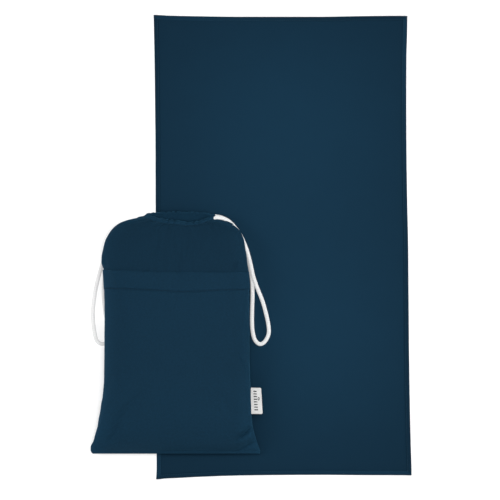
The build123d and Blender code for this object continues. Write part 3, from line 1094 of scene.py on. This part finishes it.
def make_bundle(cloth):
    """The folded towel in the pouch: a stack of soft folds that follows the pouch's inside."""
    up = np.linspace(BUNDLE_LOW, BUNDLE_HIGH, 90)
    lx, _, rx, _, front_y, back_y, seam_z, rise, drop = row_values(up)
    y = (front_y + back_y) / 2
    floor_z = (seam_z - drop).min() + BUNDLE_GAP + 0.9
    lift = ((seam_z + rise).max() - BUNDLE_GAP - 0.9 - floor_z) / BUNDLE_FOLDS
    ring = np.linspace(0, tau, 28, endpoint=False)
    points, faces = [], []
    for k in range(BUNDLE_FOLDS):
        z0, z1 = floor_z + lift * k, floor_z + lift * (k + 1)
        worst = np.maximum((z1 - seam_z) / (rise - BUNDLE_GAP), (seam_z - z0) / (drop - BUNDLE_GAP))
        share = (1 - unit(worst) ** 2.5) ** 0.4
        rows = np.flatnonzero(share > 0.3)
        end = np.minimum(up[rows] - up[rows[0]], up[rows[-1]] - up[rows])
        round_end = np.sqrt(1 - (1 - np.clip(end / 16, 0.02, 1)) ** 2)
        half = ((rx - lx)[rows] / 2 - BUNDLE_GAP - 1.0) * share[rows] * (0.35 + 0.65 * round_end)
        middle = (rx + lx)[rows] / 2
        across, over = np.cos(ring), np.sin(ring)
        side = np.sign(across) * np.abs(across) ** 0.15
        x = middle[:, None] + half[:, None] * side
        plump = 0.2 + 0.8 * round_end[:, None] ** 0.4
        height = lift * 0.47 * np.sign(over) * np.abs(over) ** 0.6 * plump
        z = (z0 + z1) / 2 + height + 0.12 * waves(x, y[rows][:, None], 60, 90 + k)
        layer = np.stack([x, np.broadcast_to(y[rows][:, None], x.shape), z], axis=-1)
        start = sum(len(p) for p in points)
        points.append(layer.reshape(-1, 3))
        faces += [[i + start for i in face[::-1]] for face in tube_faces(len(rows), len(ring))]
    points = np.concatenate(points)
    piece = make_piece("folded_towel", points, faces, cloth, points)
    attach(piece, "pouch")
    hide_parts("packed_towel")


# -------- label
LABEL_IN_SEAM = 2.5
LABEL_SHORT = 1.6
LABEL_ROWS = 44
LABEL_COLS = 48
TAPE_T = 0.42
TAPE_GAP = 0.16
BARS = 8
BAR_STITCHES = 3
RING_STITCHES = 10
MOTIF_LIFT = (0, 0, 0.08)


def make_label():
    """The side label: a soft loop of tape with a plain woven motif."""
    low, high = node_box("side_label")
    tape = label_cloth()
    x0, x1 = low[0] - LABEL_IN_SEAM, high[0] - LABEL_SHORT
    y0, y1 = low[1], high[1]
    mid_z = (low[2] + high[2]) / 2
    length = x1 - x0
    half = TAPE_T + TAPE_GAP
    up = np.linspace(0, 1, LABEL_ROWS)[:, None]
    over = [(x0 + (length - half) * t, half) for t in np.linspace(0, 1, LABEL_COLS)]
    under = [(x, -z) for x, z in over[::-1]]
    for a in np.linspace(0, pi, 9)[1:-1]:
        over.append((x1 - half + sin(a) * half, cos(a) * half))
    outer = np.array(over + under)
    inner = outer.copy()
    inner[:, 0] = np.minimum(outer[:, 0], x1 - half)
    inner[:, 1] = np.clip(outer[:, 1], -TAPE_GAP, TAPE_GAP)

    def surface(profile):
        x = np.broadcast_to(profile[:, 0], (len(up), len(profile)))
        reach = (x - x0) / length
        lean = 2.2 * reach * (1 - up)
        corner = unit((x - (x1 - 2.6)) / 2.6)
        trim = 2.6 * (1 - np.sqrt(1 - corner**2 * 0.92))
        reach_y = (y1 - y0) / 2 - trim
        y = (y0 + y1) / 2 + (up * 2 - 1) * reach_y + 0.25 * waves(x, up * 40, 26, 71)
        z = mid_z + profile[:, 1] - 1.3 * reach**2 + 0.25 * reach * np.sin(up * 5.2 + 0.7)
        return np.stack([x + lean, y, z], axis=-1)

    out, inside = surface(outer), surface(inner)
    flat = run_along(outer)
    cloth = np.stack(np.broadcast_arrays(flat[None, :], up * (y1 - y0), 0.0), axis=-1)
    piece = shell_piece("label_loop", out, inside, tape, cloth)
    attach(piece, "label")
    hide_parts("side_label")
    make_motif(out[:, :LABEL_COLS])


def make_motif(face):
    """A plain woven motif on the label: a column of equal short bars and a small ring beside it."""
    ink = thread("label_thread", LABEL_THREAD)
    rows, cols = face.shape[:2]

    def spot(u, v):
        r, c = v * (rows - 1), u * (cols - 1)
        i, j = min(int(r), rows - 2), min(int(c), cols - 2)
        a, b = r - i, c - j
        low, high = (face[k, j] * (1 - b) + face[k, j + 1] * b for k in (i, i + 1))
        return low * (1 - a) + high * a + MOTIF_LIFT

    places = []
    for turn in np.linspace(0, tau, RING_STITCHES, endpoint=False):
        here, then = (
            spot(0.74 + 0.062 * cos(t), 0.58 + 0.050 * sin(t)) for t in (turn, turn + 0.3)
        )
        places.append((here, then - here))
    for v in np.linspace(0.86, 0.16, BARS):
        left = 0.30 + 0.12 * (0.86 - v)
        for u in left + 0.105 * np.arange(BAR_STITCHES):
            for row in (v - 0.009, v + 0.009):
                places.append((spot(u, row), spot(u + 0.01, row) - spot(u, row)))
    up = np.array([0, 0, 1.0])
    places = [(p, d / norm(d), up) for p, d in places]
    piece = stitches("label_motif", places, ink, 2.0, 0.42)
    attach(piece, "label")


def make_pouch(cord_lines):
    pouch = Pouch(cord_lines)
    side = pouch.across[pouch.half]
    cloth = pouch_cloth("pouch_cloth", POCKET_TONE, side)
    # Lit and shaded copies of one cloth: painted shade on the body above the pocket, painted light in
    # the mouth.
    body_shaded_cloth = pouch_cloth("pouch_body_cloth", BODY_SHADE_TONE, side)
    mouth_lit_cloth = pouch_cloth("pouch_mouth_cloth", MOUTH_LIGHT_TONE, side)
    seam_thread = thread("pouch_thread", POUCH_THREAD)
    body = pouch.rows(0, pouch.casing_row + 1)
    mouth = pouch.rows(pouch.casing_row, len(pouch.places))
    front = pouch.layer("pouch_front", body_shaded_cloth, pouch.front, body, -CLOTH_T, 0, "pouch_front_panel")
    back = pouch.layer("pouch_back", body_shaded_cloth, pouch.back, body, -CLOTH_T, 0, "pouch_back_panel")
    open_end = slice(CASING_OPEN, -CASING_OPEN)
    mouth = mouth[:, open_end]
    front, back = pouch.front[open_end], pouch.back[open_end]
    pouch.layer("mouth_front", mouth_lit_cloth, front, mouth, -CLOTH_T, 0.06, "casing_front")
    pouch.layer("mouth_back", mouth_lit_cloth, back, mouth, -CLOTH_T, 0.06, "casing_back")
    pouch.stitch_run("casing_stitches", seam_thread, lambda share: CASING_V - 0.5, 0.25, 4)
    make_pocket(pouch, cloth, seam_thread)


# -------- light and floor, in metres
FLOOR_HALF = 6.0
FLOOR_Z = -0.0004
# Each soft light: its name, place, target, size and watts.
LIGHTS = [
    ("upper_light", (0.05, 0.22, 0.75), (0.01, 0.19, 0), 0.45, 1.45),
    ("lower_light", (0.07, -0.08, 0.75), (0.01, -0.14, 0), 0.45, 1.6),
    ("right_light", (1.5, 0.1, 0.62), (0, -0.1, 0), 0.8, 11),
    ("left_light", (-1.4, 0.1, 0.9), (-0.1, -0.1, 0), 0.8, 10),
    ("front_light", (-0.2, -1.2, 0.95), (-0.1, -0.2, 0), 0.8, 3),
    ("overhead_light", (-0.05, -0.05, 2.6), (-0.05, -0.05, 0), 0.9, 21),
]
# The sky is dimmer overhead than at the horizon.
SKY = {"From Max": 0.6, "To Min": 0.45, "To Max": 0.29}


def add_area(name, place, target, size, power):
    """A round soft light, aimed at a point."""
    data = bpy.data.lights.new(name, "AREA")
    data.shape = "DISK"
    data.size = size
    data.energy = power
    light = add_object(name, data)
    light.location = place
    aim = Vector(target) - Vector(place)
    light.rotation_euler = aim.to_track_quat("-Z", "Y").to_euler()
    light.visible_camera = False


def make_stage():
    mesh = bpy.data.meshes.new("floor")
    signs = [(-1, -1), (1, -1), (1, 1), (-1, 1)]
    corners = [(x * FLOOR_HALF, y * FLOOR_HALF, FLOOR_Z) for x, y in signs]
    mesh.from_pydata(corners, [], [(0, 1, 2, 3)])
    mesh.materials.append(floor_paper())
    floor = add_object("floor", mesh)
    for light in LIGHTS:
        add_area(*light)
    world = bpy.data.worlds.new("studio")
    world.use_nodes = True
    nodes, links = world.node_tree.nodes, world.node_tree.links
    height = nodes.new("ShaderNodeSeparateXYZ")
    links.new(nodes.new("ShaderNodeTexCoord").outputs["Generated"], height.inputs["Vector"])
    fade = nodes.new("ShaderNodeMapRange")
    for key, value in SKY.items():
        fade.inputs[key].default_value = value
    links.new(height.outputs["Z"], fade.inputs["Value"])
    links.new(fade.outputs["Result"], nodes["Background"].inputs["Strength"])
    nodes["Background"].inputs["Color"].default_value = WHITE
    bpy.context.scene.world = world
    bpy.context.scene.view_settings.view_transform = "Standard"


make_camera()
white = cord_cloth()
cord_lines = [
    make_cord("right_cord_loop", "right_drawcord", RIGHT_ROUTE, "right_cord", white),
    make_cord("left_cord_loop", "left_drawcord", LEFT_ROUTE, "left_cord", white),
]
towel_material = make_towel()
make_pouch(cord_lines)
make_bundle(towel_material)
make_label()
make_stage()
